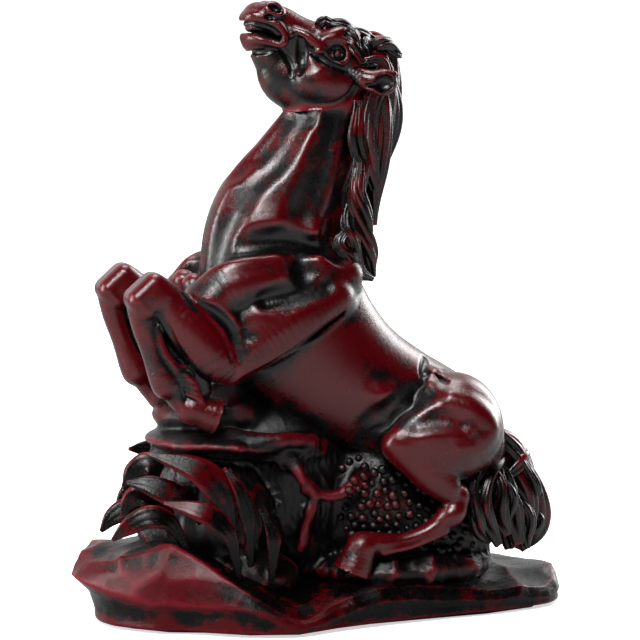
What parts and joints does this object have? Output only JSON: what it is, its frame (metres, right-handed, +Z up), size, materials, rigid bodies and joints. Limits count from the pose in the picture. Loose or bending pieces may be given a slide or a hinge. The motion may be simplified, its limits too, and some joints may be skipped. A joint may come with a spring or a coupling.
{
  "type": "zodiac horse figurine",
  "caption": "Desk figurine of a horse rising off a rock with reed leaves in front, cast in dark red resin, on a flat felt-covered underside.",
  "frame": {"origin": "centre of the bounding box's bottom face, on the table", "axes": "+Z up, the horse faces -X, its left side (the display side) is towards -Y"},
  "size_m": [0.147, 0.074, 0.1762],
  "materials": {
    "body_resin": "gloss",
    "hoof_resin": "gloss",
    "hair_resin": "satin",
    "rock_resin": "satin",
    "leaf_resin": "gloss",
    "felt": "matte"
  },
  "bodies": {
    "root": {"horse_trunk": "body_resin", "head": "body_resin", "left_foreleg": "body_resin", "right_foreleg": "body_resin", "left_hind_leg": "body_resin", "right_hind_leg": "body_resin", "left_ear": "body_resin", "right_ear": "body_resin", "left_fore_hoof": "hoof_resin", "right_fore_hoof": "hoof_resin", "left_hind_hoof": "hoof_resin", "right_hind_hoof": "hoof_resin", "mane": "hair_resin", "forelock": "hair_resin", "tail": "hair_resin", "rock_base": "rock_resin", "rock_stand": "rock_resin", "felt_pad": "felt", "reed_leaf_01": "leaf_resin", "reed_leaf_02": "leaf_resin", "reed_leaf_03": "leaf_resin", "reed_leaf_04": "leaf_resin", "reed_leaf_05": "leaf_resin", "reed_leaf_06": "leaf_resin", "reed_leaf_07": "leaf_resin", "reed_leaf_08": "leaf_resin", "reed_leaf_09": "leaf_resin", "reed_leaf_10": "leaf_resin", "reed_leaf_11": "leaf_resin", "reed_leaf_12": "leaf_resin", "reed_leaf_13": "leaf_resin", "reed_leaf_14": "leaf_resin"}
  },
  "joints": []
}
